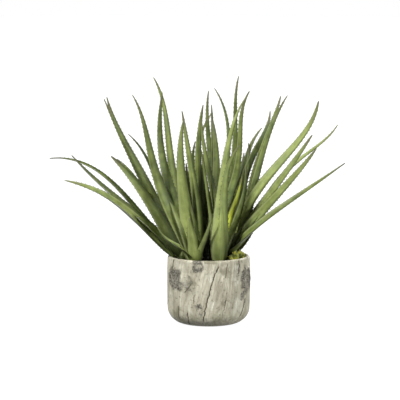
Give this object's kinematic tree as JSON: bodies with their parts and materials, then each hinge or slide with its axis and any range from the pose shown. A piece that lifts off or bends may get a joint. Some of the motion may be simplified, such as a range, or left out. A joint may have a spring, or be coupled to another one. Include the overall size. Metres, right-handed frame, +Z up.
{
  "type": "potted aloe clump",
  "caption": "Clump of upright, arching, toothed aloe leaves growing from soil in a squat round pot with a weathered wood-grain finish.",
  "frame": {"origin": "centre of the pot's flat underside", "axes": "+Z up; the front of the plant looks along -Y, with +X to its right"},
  "size_m": [0.5262, 0.3008, 0.4462],
  "materials": {
    "pot": "matt, printed and modelled like weathered grey wood",
    "soil": "dark crumbly potting soil",
    "moss": "yellow-green moss",
    "leaf": "waxy green leaf with pale toothed edges and drying tips"
  },
  "bodies": {
    "root": {"pot": "pot", "soil": "soil", "moss_right": "moss", "moss_left": "moss", "rosette_left": "leaf", "rosette_front_left": "leaf", "rosette_centre": "leaf", "rosette_front_right": "leaf", "rosette_right": "leaf", "rosette_back": "leaf", "rosette_back_left": "leaf"}
  },
  "joints": []
}
